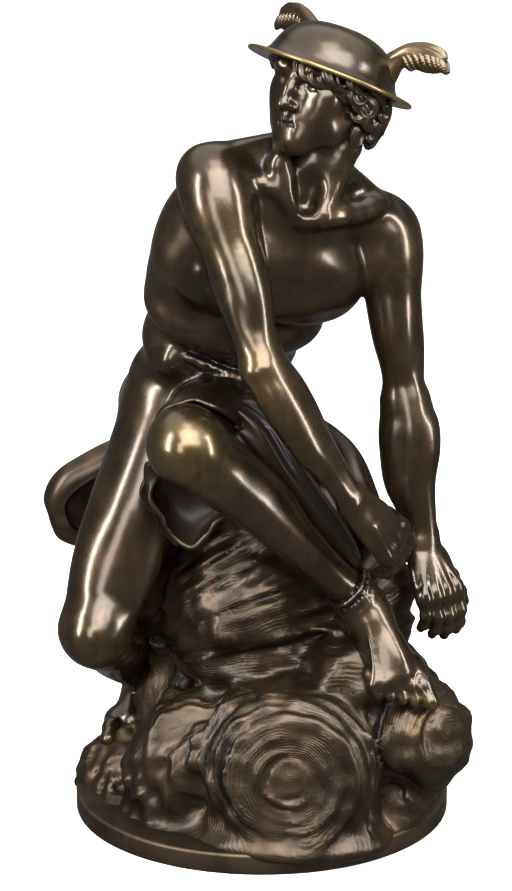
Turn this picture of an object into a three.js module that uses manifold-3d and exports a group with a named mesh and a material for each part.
// Seated Mercury, a cast bronze statuette on a round base plate.
// Millimetres, +Z up. The origin is the centre of the flat underside of the base plate.
// The viewer in front looks along +Y and has +X at the right hand.
import * as THREE from 'three';
import { mergeVertices } from 'three/addons/utils/BufferGeometryUtils.js';
import Module from 'manifold-3d';

// Driving dimensions
const overallHeight = 560;
const baseHalfWidth = 129;
const baseHalfDepth = 123;
const baseHeight = 14.5;
const baseEdgeRound = 2.2;
const brimRadius = 52;
const brimThickness = 2.6;
const brimEdge = 1.5;
const crownRadius = 43;
const crownHeight = 30;
const wingLength = 52;
const wingTurn = 12;
const featherCount = 3;
const ankletRadius = 13.4;
const ankletThickness = 2.2;

// The pose, the proportions and the carving are laid out in 560ths of the height
const unit = overallHeight / 560;

// Fingers, toes and feathers are slim tubes with this many sides
const slimSides = 5;

// How far a tube's end rises beyond its last ring, as a share of its smaller half width
const endRoundShare = 0.7;

const wasm = await Module();
wasm.setup();

// Small helpers for points and directions
const point = (x, y, z) => new THREE.Vector3(x, y, z).multiplyScalar(unit);
const onPlate = (across, deep, up) => (
  new THREE.Vector3(across * baseHalfWidth, deep * baseHalfDepth, up * unit));
const direction = (x, y, z) => new THREE.Vector3(x, y, z).normalize();
const between = (a, b, share) => a.clone().lerp(b, share);

// A frame at a point: up and front as given, side pointing to the body's own left
function frameAt(origin, up, front) {
  const upward = up.clone().normalize();
  const forward = front.clone().addScaledVector(upward, -front.dot(upward)).normalize();
  const side = upward.clone().cross(forward);
  return { origin, up: upward, front: forward, side };
}

// A place in a frame, in units: to its left, forward and up
function place(frame, left, forward, up) {
  return frame.origin.clone()
    .addScaledVector(frame.side, left * unit)
    .addScaledVector(frame.front, forward * unit)
    .addScaledVector(frame.up, up * unit);
}

// Rings of points as one closed skin with a pole at each end
function skin(rings, startPole, endPole) {
  const sides = rings[0].length;
  const positions = [startPole, ...rings.flat(), endPole].flatMap((p) => p.toArray());
  const last = rings.length * sides + 1;
  const faces = [];
  const vertex = (ring, side) => 1 + ring * sides + (side % sides);
  for (let side = 0; side < sides; side += 1) {
    faces.push(0, vertex(0, side + 1), vertex(0, side));
    faces.push(last, vertex(rings.length - 1, side), vertex(rings.length - 1, side + 1));
  }
  for (let ring = 0; ring + 1 < rings.length; ring += 1) {
    for (let side = 0; side < sides; side += 1) {
      const [a, b] = [vertex(ring, side), vertex(ring, side + 1)];
      const [c, d] = [vertex(ring + 1, side), vertex(ring + 1, side + 1)];
      faces.push(a, b, d, a, d, c);
    }
  }
  const geometry = new THREE.BufferGeometry();
  geometry.setAttribute('position', new THREE.Float32BufferAttribute(positions, 3));
  geometry.setIndex(faces);
  return geometry;
}

// A closed geometry as a solid; one whose faces point in is turned first
function solid(geometry) {
  const bare = geometry.clone();
  bare.deleteAttribute('normal');
  bare.deleteAttribute('uv');
  const merged = mergeVertices(bare, 1e-4);
  const body = new wasm.Manifold(new wasm.Mesh({
    numProp: 3,
    vertProperties: new Float32Array(merged.attributes.position.array),
    triVerts: new Uint32Array(merged.index.array),
  }));
  if (body.volume() > 0) return body;
  const turned = merged.index.array.slice().reverse();
  return new wasm.Manifold(new wasm.Mesh({
    numProp: 3,
    vertProperties: new Float32Array(merged.attributes.position.array),
    triVerts: new Uint32Array(turned),
  }));
}

const join = (bodies) => bodies.reduce((sum, body) => sum.add(body));

// An elliptical ring round a centre
function ring(centre, side, front, halfSide, halfFront, sides) {
  return Array.from({ length: sides }, (unused, index) => {
    const angle = (2 * Math.PI * index) / sides;
    return centre.clone()
      .addScaledVector(side, halfSide * Math.cos(angle))
      .addScaledVector(front, halfFront * Math.sin(angle));
  });
}

// A tube through stations [centre, half width, half depth], with round ends; front sets its turn
function tube(stations, front, sides = 10) {
  const centres = stations.map((station) => station[0]);
  const curve = centres.map((centre, index) => {
    const before = centres[Math.max(index - 1, 0)];
    const after = centres[Math.min(index + 1, centres.length - 1)];
    return frameAt(centre, after.clone().sub(before), front);
  });
  const rings = stations.map(([centre, wide, deep], index) => (
    ring(centre, curve[index].side, curve[index].front, wide * unit, deep * unit, sides)));
  const pole = (index, sign) => {
    const [centre, wide, deep] = stations[index];
    const rise = sign * endRoundShare * Math.min(wide, deep) * unit;
    return centre.clone().addScaledVector(curve[index].up, rise);
  };
  return solid(skin(rings, pole(0, -1), pole(stations.length - 1, 1)));
}

// A limb between two joints; each profile row is
// [share of the length, half width, half depth, shift to the left, shift forward]
function limb(from, to, front, profile, sides = 9) {
  const frame = frameAt(from, to.clone().sub(from), front);
  const stations = profile.map(([share, wide, deep, left = 0, forward = 0]) => {
    const centre = between(from, to, share);
    centre.addScaledVector(frame.side, left * unit).addScaledVector(frame.front, forward * unit);
    return [centre, wide, deep];
  });
  return tube(stations, front, sides);
}

// An egg with its three half sizes along a frame's side, front and up
function egg(centre, frame, halfSizes, columns = 10, rows = 6) {
  const geometry = new THREE.SphereGeometry(1, columns, rows);
  const [a, b, c] = halfSizes.map((size) => size * unit);
  const matrix = new THREE.Matrix4().makeBasis(
    frame.side.clone().multiplyScalar(a),
    frame.front.clone().multiplyScalar(b),
    frame.up.clone().multiplyScalar(c),
  ).setPosition(centre);
  return solid(geometry.applyMatrix4(matrix));
}

// Joints of the figure
const joint = {
  hipRight: point(-59, -2, 287),
  kneeRight: point(-109, -66, 149),
  ankleRight: point(-83, 76, 60),
  ballRight: point(-91, 36, 43),
  toeRight: point(-95, 12, 38),
  hipLeft: point(-14, 26, 276),
  kneeLeft: point(-47, -118, 289),
  ankleLeft: point(65, -70, 172),
  ballLeft: point(88, -92, 126),
  toeLeft: point(98, -104, 110),
  shoulderRight: point(-30, -101, 451),
  elbowRight: point(0, -128, 343),
  wristRight: point(56, -118, 254),
  knuckleRight: point(84, -100, 219),
  shoulderLeft: point(79, -42, 410),
  elbowLeft: point(93, -46, 300),
  wristLeft: point(104, -58, 208),
  knuckleLeft: point(116, -70, 174),
};
const hat = frameAt(point(41.5, -90, 516), direction(0.355, -0.02, 0.935), direction(-0.66, -0.74, 0));
const world = frameAt(point(0, 0, 0), direction(0, 0, 1), direction(0, -1, 0));
const acrossBody = direction(0.8, 0.5, -0.3);
const chestFront = direction(0.25, -0.77, -0.58);
const chest = frameAt(point(-3, -50, 388), direction(0.4, -0.46, 0.79), chestFront);
const pelvis = frameAt(point(-40, 14, 284), direction(0.2, -0.35, 0.9), direction(0.4, -0.9, -0.2));
const head = frameAt(point(37, -90, 505), direction(0.12, -0.03, 0.99), direction(-0.66, -0.74, -0.1));

// Limb profiles, widest first at the trunk
const thighProfile = [
  [0, 33, 36], [0.24, 32.5, 36, 0, 1], [0.5, 31, 33, 1, 2],
  [0.78, 29.5, 27, 4, 1], [1, 24, 22, 1, 0],
];
const shankProfile = [
  [0, 19, 18], [0.12, 19, 17], [0.3, 21, 17.5, 0, -1], [0.46, 19, 17, 0, -1.5],
  [0.65, 14.5, 14.5, 0, -1], [0.84, 11, 12], [1, 13, 14],
];
const upperArmProfile = [
  [0, 19, 19], [0.2, 19, 19, 0, 0], [0.42, 18.5, 19.5, 0, 0.5], [0.62, 17, 18.5, 0, 0.5],
  [0.82, 14, 14, 0, 0], [1, 15, 13],
];
const forearmProfile = [
  [0, 16, 13.5], [0.16, 20.5, 15, -0.5], [0.34, 21, 14.5, 0.5], [0.6, 17.5, 12, 3],
  [0.85, 12.5, 9], [1, 12, 8.5],
];

// Trunk: an elliptical sweep up the bent spine, then chest, back and seat muscles
function makeTrunk() {
  const spine = [
    [point(-42, 22, 256), 48, 36], [point(-40, 14, 284), 55, 40], [point(-35, 4, 306), 56, 37],
    [point(-27, -12, 331), 54, 34], [point(-17, -30, 357), 64, 38], [point(-1, -50, 388), 71, 42],
    [point(12, -66, 414), 64, 36], [point(26, -74, 436), 40, 27], [point(33, -78, 450), 22, 20],
  ];
  const front = acrossBody.clone().cross(direction(0.3, -0.4, 0.85)).normalize();
  const muscles = [];
  for (const left of [-1, 1]) {
    muscles.push(egg(place(chest, left * 31, 23, 15), chest, [33, 19, 24], 9, 5));
    muscles.push(egg(place(chest, left * 37 - 3, -10, -8), chest, [28, 27, 44], 8, 5));
    muscles.push(egg(place(pelvis, left * 22, -16, -12), pelvis, [29, 32, 30], 7, 5));
  }
  muscles.push(egg(place(pelvis, 0, 20, 18), pelvis, [36, 16, 36], 8, 5));
  muscles.push(egg(point(-42, -66, 422), chest, [22, 26, 34], 8, 5));
  for (const shoulder of [joint.shoulderRight, joint.shoulderLeft]) {
    const top = shoulder.clone().add(point(shoulder.x < 0 ? -6 : 0, 6, shoulder.x < 0 ? 7 : 3));
    const nape = shoulder.x < 0 ? point(22, -70, 465) : point(42, -68, 449);
    muscles.push(limb(nape, top, chest.front, [[0, 17, 14], [0.5, 18, 13], [1, 20, 15]], 7));
    muscles.push(limb(point(24, -92, 436), top, chest.front, [[0, 13, 11], [0.5, 15, 14], [1, 17, 17]], 7));
  }
  return join([tube(spine, front, 12), ...muscles]);
}

// One leg: thigh, kneecap and shank
function makeLeg(hip, knee, ankle, kneeFront) {
  const kneecap = frameAt(knee, hip.clone().sub(knee), kneeFront);
  return join([
    limb(hip, knee, kneeFront, thighProfile),
    limb(knee, ankle, kneeFront, shankProfile),
    egg(place(kneecap, 0, 3, -6), kneecap, [25, 21, 22], 10, 5),
    egg(place(kneecap, 0, 15, -8), kneecap, [13, 10, 15], 6, 4),
  ]);
}

// One arm: shoulder cap, upper arm and forearm
function makeArm(shoulder, elbow, wrist, bicepsFront, wristFront) {
  const cap = frameAt(shoulder, shoulder.clone().sub(elbow), bicepsFront);
  return join([
    egg(place(cap, 0, 0, -8), cap, [23, 23, 32], 9, 6),
    limb(shoulder, elbow, bicepsFront, upperArmProfile),
    limb(elbow, wrist, wristFront, forearmProfile),
  ]);
}

// One finger or toe: a chain of joints that bends by a set angle at each knuckle
function makeDigit(root, along, bendAxis, lengths, bends, radius) {
  const stations = [[root, radius, radius]];
  const heading = along.clone();
  let tip = root;
  lengths.forEach((length, index) => {
    heading.applyAxisAngle(bendAxis, bends[index]);
    tip = tip.clone().addScaledVector(heading, length * unit);
    const taper = radius * (1 - 0.11 * (index + 1));
    stations.push([tip, taper, taper]);
  });
  return tube(stations, bendAxis.clone().cross(along), slimSides);
}

// A hand from its wrist to its knuckles, back of the hand facing outward, fingers bent towards the palm
function makeHand(wrist, knuckle, outward, thumbSign, bends) {
  const frame = frameAt(knuckle, knuckle.clone().sub(wrist), outward);
  const palm = tube([
    [wrist, 12, 8.5], [between(wrist, knuckle, 0.45), 16, 9], [knuckle, 17.5, 7.5],
  ], frame.front, 8);
  const fingers = [];
  const reach = [33, 36, 34, 27];
  reach.forEach((length, index) => {
    const across = thumbSign * (13 - 8.4 * index);
    const root = place(frame, across, 0, 0);
    const lengths = [length * 0.46, length * 0.3, length * 0.24];
    fingers.push(makeDigit(root, frame.up, frame.side, lengths, bends, 5.1 - 0.25 * index));
  });
  const thumbRoot = place(frame, thumbSign * 10, -3, -26);
  const thumbAlong = frame.up.clone().addScaledVector(frame.side, thumbSign * 0.4).normalize();
  fingers.push(makeDigit(thumbRoot, thumbAlong, frame.side, [17, 13, 10], bends.map((b) => b * 0.5), 5.4));
  return join([palm, ...fingers]);
}

// A foot from heel to toes; up is the top of the foot, bigSign is the side of the big toe
function makeFoot(ankle, ball, toe, heel, up, bigSign) {
  const frame = frameAt(ball, toe.clone().sub(ball), up);
  const toes = [];
  const sizes = [7.6, 5.2, 4.8, 4.5, 4.4];
  sizes.forEach((radius, index) => {
    const across = bigSign * (13 - 7.2 * index + (index ? -1.5 : 0));
    const length = index ? 22 - 2.4 * index : 22;
    const root = place(frame, across, -1, -4 - 1.5 * index);
    toes.push(makeDigit(root, frame.up, frame.side, [length * 0.55, length * 0.45], [0.15, 0.3], radius));
  });
  const soleSides = 7;
  const arch = between(heel, ball, 0.5).addScaledVector(frame.front, 5 * unit);
  return join([
    egg(between(ankle, ball, 0.22), frame, [17, 15, 15], 8, 6),
    tube([[heel, 12.5, 12], [arch, 14, 12.5], [ball, 18.5, 9]], frame.front, soleSides),
    tube([[ankle, 13, 14], [between(ankle, ball, 0.45), 13.5, 10], [ball, 16, 8]], frame.front, soleSides),
    ...toes,
  ]);
}

// A plain ring round the left ankle
function makeAnklet(knee, ankle) {
  const frame = frameAt(between(knee, ankle, 0.97), ankle.clone().sub(knee), direction(0, -1, 0));
  const matrix = new THREE.Matrix4().makeBasis(frame.side, frame.front, frame.up).setPosition(frame.origin);
  return solid(new THREE.TorusGeometry(ankletRadius, ankletThickness, 5, 12).applyMatrix4(matrix));
}

// Head and neck: skull, face and features on even thirds, chin to brow
function makeHead() {
  const neck = limb(point(31, -78, 440), place(head, 0, -10, -12), head.front,
    [[0, 23, 22], [0.35, 20, 20], [0.7, 19.5, 20], [1, 19, 20]], 11);
  const bridge = place(head, 0, 33, 0);
  const noseTip = place(head, 0, 38, -16);
  return join([
    neck,
    egg(place(head, 0, -5, 6), head, [30, 36, 31], 9, 6),
    egg(place(head, 0, 10, -8), head, [25, 24, 33], 10, 7),
    egg(place(head, 0, 15, -26), head, [18, 19, 15], 8, 5),
    egg(place(head, 0, 29, -35), head, [8, 7, 7], 6, 4),
    egg(place(head, 0, 28, 5), head, [18, 7, 5], 8, 4),
    egg(place(head, 0, 32, -26), head, [8.5, 4.5, 4.5], 6, 5),
    tube([[bridge, 3.2, 3], [noseTip, 5, 4]], head.front, 6),
  ]);
}

// Hair: rolls of curls on a cap under the brim, from temple to temple round the back; angle 0 is the face
function makeHair() {
  const rolls = [
    { up: 9, from: 40, curls: 8, sideways: 34, depth: 37, size: 10.5 },
    { up: -6, from: 62, curls: 7, sideways: 32.5, depth: 37, size: 11 },
    { up: -21, from: 108, curls: 5, sideways: 25, depth: 33, size: 10.5 },
  ];
  const cap = egg(place(head, 0, -10, 0), head, [37, 37, 30], 9, 6);
  return join([cap, ...rolls.map((roll) => {
    const steps = 2 * roll.curls;
    const stations = Array.from({ length: steps + 1 }, (unused, index) => {
      const angle = THREE.MathUtils.degToRad(roll.from + ((360 - 2 * roll.from) * index) / steps);
      const swell = index % 2 ? 1 : 0.74;
      const lift = roll.up + 2 * Math.sin(index * 1.9);
      const centre = place(head, roll.sideways * Math.sin(angle), roll.depth * Math.cos(angle) - 4, lift);
      return [centre, roll.size * swell * 0.8, roll.size * swell];
    });
    return tube(stations, head.up, 5);
  })]);
}

// The hat: a turned bowl with a thin flat brim, tipped back on the head
function makeHat() {
  const crown = Array.from({ length: 6 }, (unused, index) => {
    const angle = (index / 5) * (Math.PI / 2);
    return new THREE.Vector2(crownRadius * Math.sin(angle) ** 0.74, crownHeight * Math.cos(angle));
  });
  crown[0].x = 0;
  const profile = [
    new THREE.Vector2(0, -brimThickness),
    new THREE.Vector2(brimRadius - brimEdge, -brimThickness),
    new THREE.Vector2(brimRadius, -brimThickness / 2),
    new THREE.Vector2(brimRadius - brimEdge, 0),
    new THREE.Vector2(crownRadius + 2 * brimEdge, 0.3 * brimEdge),
    ...crown.reverse(),
  ];
  const matrix = new THREE.Matrix4().makeBasis(hat.side.clone().negate(), hat.up, hat.front)
    .setPosition(hat.origin);
  return solid(new THREE.LatheGeometry(profile, 22).applyMatrix4(matrix));
}

// One hat wing: a root and layered feathers that rise, spread and curl outward
function makeWing(left, lift) {
  const turn = THREE.MathUtils.degToRad(wingTurn);
  const out = hat.side.clone().multiplyScalar(left * Math.cos(turn))
    .addScaledVector(hat.front, -Math.sin(turn));
  const back = hat.front.clone().multiplyScalar(-Math.cos(turn))
    .addScaledVector(hat.side, -left * Math.sin(turn));
  const root = hat.origin.clone().addScaledVector(out, crownRadius * 0.93)
    .addScaledVector(hat.up, wingLength * 0.1);
  const at = (outward, upward, backward) => root.clone()
    .addScaledVector(out, outward * wingLength)
    .addScaledVector(hat.up, upward * wingLength)
    .addScaledVector(back, backward * wingLength);
  const feathers = Array.from({ length: featherCount }, (unused, index) => {
    const step = index / (featherCount - 1);
    const reach = 1 - 0.3 * step;
    const path = [
      [at(0, 0.04, 0), 5.5], [at(0.06, 0.5 * lift, 0.03 * step), 7],
      [at(0.2 * reach, 0.83 * lift * reach, 0.16 * step), 7],
      [at(0.41 * reach, 0.86 * lift * reach, 0.27 * step), 6],
      [at(0.57 * reach, 0.68 * lift * reach, 0.3 * step), 3.6],
    ];
    return tube(path.map(([centre, wide]) => [centre, wide, wide * 0.55]), back, slimSides);
  });
  return join(feathers);
}

// A length of cloth: a flat sweep along a path whose section carries pleats that run with it
function makeCloth(path, front, pleats, depth, sides = 12) {
  const centres = path.map((row) => row[0]);
  const rings = path.map(([centre, wide, deep, turn = 0], index) => {
    const before = centres[Math.max(index - 1, 0)];
    const after = centres[Math.min(index + 1, centres.length - 1)];
    const frame = frameAt(centre, after.clone().sub(before), front);
    const side = frame.side.clone().applyAxisAngle(frame.up, turn);
    const normal = frame.front.clone().applyAxisAngle(frame.up, turn);
    return Array.from({ length: sides }, (unused, step) => {
      const angle = (2 * Math.PI * step) / sides;
      const pleat = 1 + depth * Math.cos(pleats * angle + index * 0.3);
      return centre.clone()
        .addScaledVector(side, wide * unit * Math.cos(angle))
        .addScaledVector(normal, deep * unit * Math.sin(angle) * pleat);
    });
  });
  return solid(skin(rings, centres[0].clone(), centres[centres.length - 1].clone()));
}

// The cloth over the lap, its fall below the raised knee, the swag behind the hip and the tail behind
function makeDrapery() {
  const up = direction(0, -0.3, 1);
  return join([
    makeCloth([
      [point(-72, -18, 262), 14, 6], [point(-58, -58, 290), 22, 9], [point(-38, -82, 306), 24, 10],
      [point(-14, -78, 306), 26, 11], [point(14, -48, 288), 28, 14], [point(38, -24, 258), 28, 17],
      [point(54, -26, 228), 26, 18], [point(66, -32, 194), 22, 18],
    ], up, 4, 0.3),
    makeCloth([
      [point(-62, -84, 292), 12, 6], [point(-62, -100, 262), 15, 6], [point(-48, -104, 232), 14, 7],
      [point(-34, -98, 222), 10, 6], [point(-22, -88, 246), 9, 6],
    ], direction(-0.3, -1, 0), 2, 0.3, 9),
    makeCloth([
      [point(-80, 38, 248), 16, 10], [point(-111, 44, 229), 17, 10], [point(-134, 42, 209), 16, 10],
      [point(-132, 44, 184), 14, 10], [point(-100, 46, 180), 18, 12], [point(-62, 44, 198), 22, 14],
    ], direction(0, -1, 0.1), 2, 0.3, 10),
    makeCloth([
      [point(-60, 48, 262), 34, 12], [point(-40, 66, 236), 44, 14], [point(-34, 84, 190), 44, 14],
      [point(-36, 92, 140), 38, 13], [point(-40, 92, 96), 28, 11],
    ], direction(0, 1, 0.2), 4, 0.3, 16),
  ]);
}

// A billow of cloud: a turned dome with ripples round its own axis, which points at the viewer given
function makeBillow(centre, axis, radius, depth, ripples, rippleDepth, columns = 18) {
  const rows = 4 * ripples + 2;
  const profile = Array.from({ length: rows + 1 }, (unused, index) => {
    const angle = (index / rows) * Math.PI;
    const fade = Math.cos(angle / 2) ** 0.5 * Math.sin(angle);
    const ripple = 1 + rippleDepth * fade * Math.cos(2 * ripples * angle);
    return new THREE.Vector2(radius * Math.sin(angle) * ripple, depth * Math.cos(angle));
  });
  profile[0].x = 0;
  profile[rows].x = 0;
  const frame = frameAt(centre, axis, direction(0.1, 0.2, 1));
  const matrix = new THREE.Matrix4().makeBasis(
    frame.side.clone().multiplyScalar(-unit), frame.up.clone().multiplyScalar(unit),
    frame.front.clone().multiplyScalar(unit),
  ).setPosition(centre);
  return solid(new THREE.LatheGeometry(profile.reverse(), columns).applyMatrix4(matrix));
}

// The cloud bank, billow by billow: [x, y, z, half sizes]
function makeCloud() {
  const plain = [
    [-26, 26, 130, 55, 60, 122], [-6, -22, 150, 60, 52, 64], [22, -34, 60, 70, 66, 68],
    [74, 12, 60, 54, 58, 58], [-64, 12, 176, 24, 34, 46], [10, 70, 66, 88, 44, 62],
    [-50, 24, 66, 38, 56, 58], [-99, 22, 12, 30, 40, 24],
    [76, -38, 156, 27, 26, 56], [58, -58, 112, 34, 36, 40], [36, -16, 172, 42, 38, 58],
    [12, -28, 222, 34, 26, 42],
  ].map(([x, y, z, a, b, c]) => egg(point(x, y, z), world, [a, b, c], 8, 6));
  return join([
    ...plain,
    makeBillow(onPlate(0.186, -0.537, 50), direction(-0.08, -1, 0.12), 58, 56, 2, 0.06, 14),
    makeBillow(onPlate(0.764, -0.488, 74), direction(0.6, -0.8, 0.2), 41, 41, 1, 0.06, 12),
    makeBillow(onPlate(-0.295, -0.423, 58), direction(-0.45, -0.9, 0.1), 42, 42, 1, 0.06, 12),
  ]);
}

// The round base plate, slightly oval, with a softened upper and lower edge
function makeBase() {
  const profile = [
    new THREE.Vector2(0, 0), new THREE.Vector2(baseHalfWidth - baseEdgeRound, 0),
    new THREE.Vector2(baseHalfWidth, baseEdgeRound),
    new THREE.Vector2(baseHalfWidth, baseHeight - baseEdgeRound),
    new THREE.Vector2(baseHalfWidth - baseEdgeRound, baseHeight), new THREE.Vector2(0, baseHeight),
  ];
  const matrix = new THREE.Matrix4().makeRotationX(Math.PI / 2)
    .premultiply(new THREE.Matrix4().makeScale(1, baseHalfDepth / baseHalfWidth, 1));
  return solid(new THREE.LatheGeometry(profile, 36).applyMatrix4(matrix));
}

// Everything below the underside of the base is cut away by this block
function makeFloorBlock() {
  const size = 4 * baseHalfWidth;
  return solid(new THREE.BoxGeometry(size, size, size).translate(0, 0, -size / 2));
}

function makeStatuette() {
  const rightFront = direction(-0.2, -0.85, -0.2);
  const leftFront = direction(-0.25, -0.5, 0.75);
  const heelRight = point(-78, 84, 52);
  const heelLeft = point(58, -50, 150);
  const figure = join([
    makeTrunk(),
    makeLeg(joint.hipRight, joint.kneeRight, joint.ankleRight, rightFront),
    makeLeg(joint.hipLeft, joint.kneeLeft, joint.ankleLeft, leftFront),
    makeArm(
      joint.shoulderRight, joint.elbowRight, joint.wristRight,
      direction(0.5, -0.5, 0.3), direction(0.6, -0.3, 0.5),
    ),
    makeArm(
      joint.shoulderLeft, joint.elbowLeft, joint.wristLeft,
      direction(-0.2, -0.95, 0), direction(-0.3, -0.95, 0),
    ),
    makeHand(joint.wristRight, joint.knuckleRight, direction(0.7, -0.7, 0.3), -1, [-0.35, -0.5, -0.5]),
    makeHand(joint.wristLeft, joint.knuckleLeft, direction(0.4, -0.8, 0.45), -1, [-0.35, -0.55, -0.5]),
    makeFoot(joint.ankleRight, joint.ballRight, joint.toeRight, heelRight, direction(0, -0.75, 0.6), 1),
    makeFoot(joint.ankleLeft, joint.ballLeft, joint.toeLeft, heelLeft, direction(0.28, -0.76, 0.58), -1),
    makeAnklet(joint.kneeLeft, joint.ankleLeft),
    makeHead(), makeHair(), makeHat(), makeWing(-1, 0.38), makeWing(1, 0.76), makeDrapery(),
  ]);
  return figure.add(makeCloud()).add(makeBase()).subtract(makeFloorBlock());
}

// A solid as a mesh in the bronze's own colour
function asMesh(body, name, material) {
  const { vertProperties, triVerts } = body.getMesh();
  const geometry = new THREE.BufferGeometry();
  geometry.setAttribute('position', new THREE.BufferAttribute(vertProperties, 3));
  geometry.setIndex(new THREE.BufferAttribute(triVerts, 1));
  const mesh = new THREE.Mesh(geometry, material);
  mesh.name = name;
  return mesh;
}

const bronze = new THREE.MeshStandardMaterial({ color: 0x3d2e20, roughness: 0.36, metalness: 0.9 });
const group = new THREE.Group();
group.add(asMesh(makeStatuette(), 'seated_mercury', bronze));

export default group;
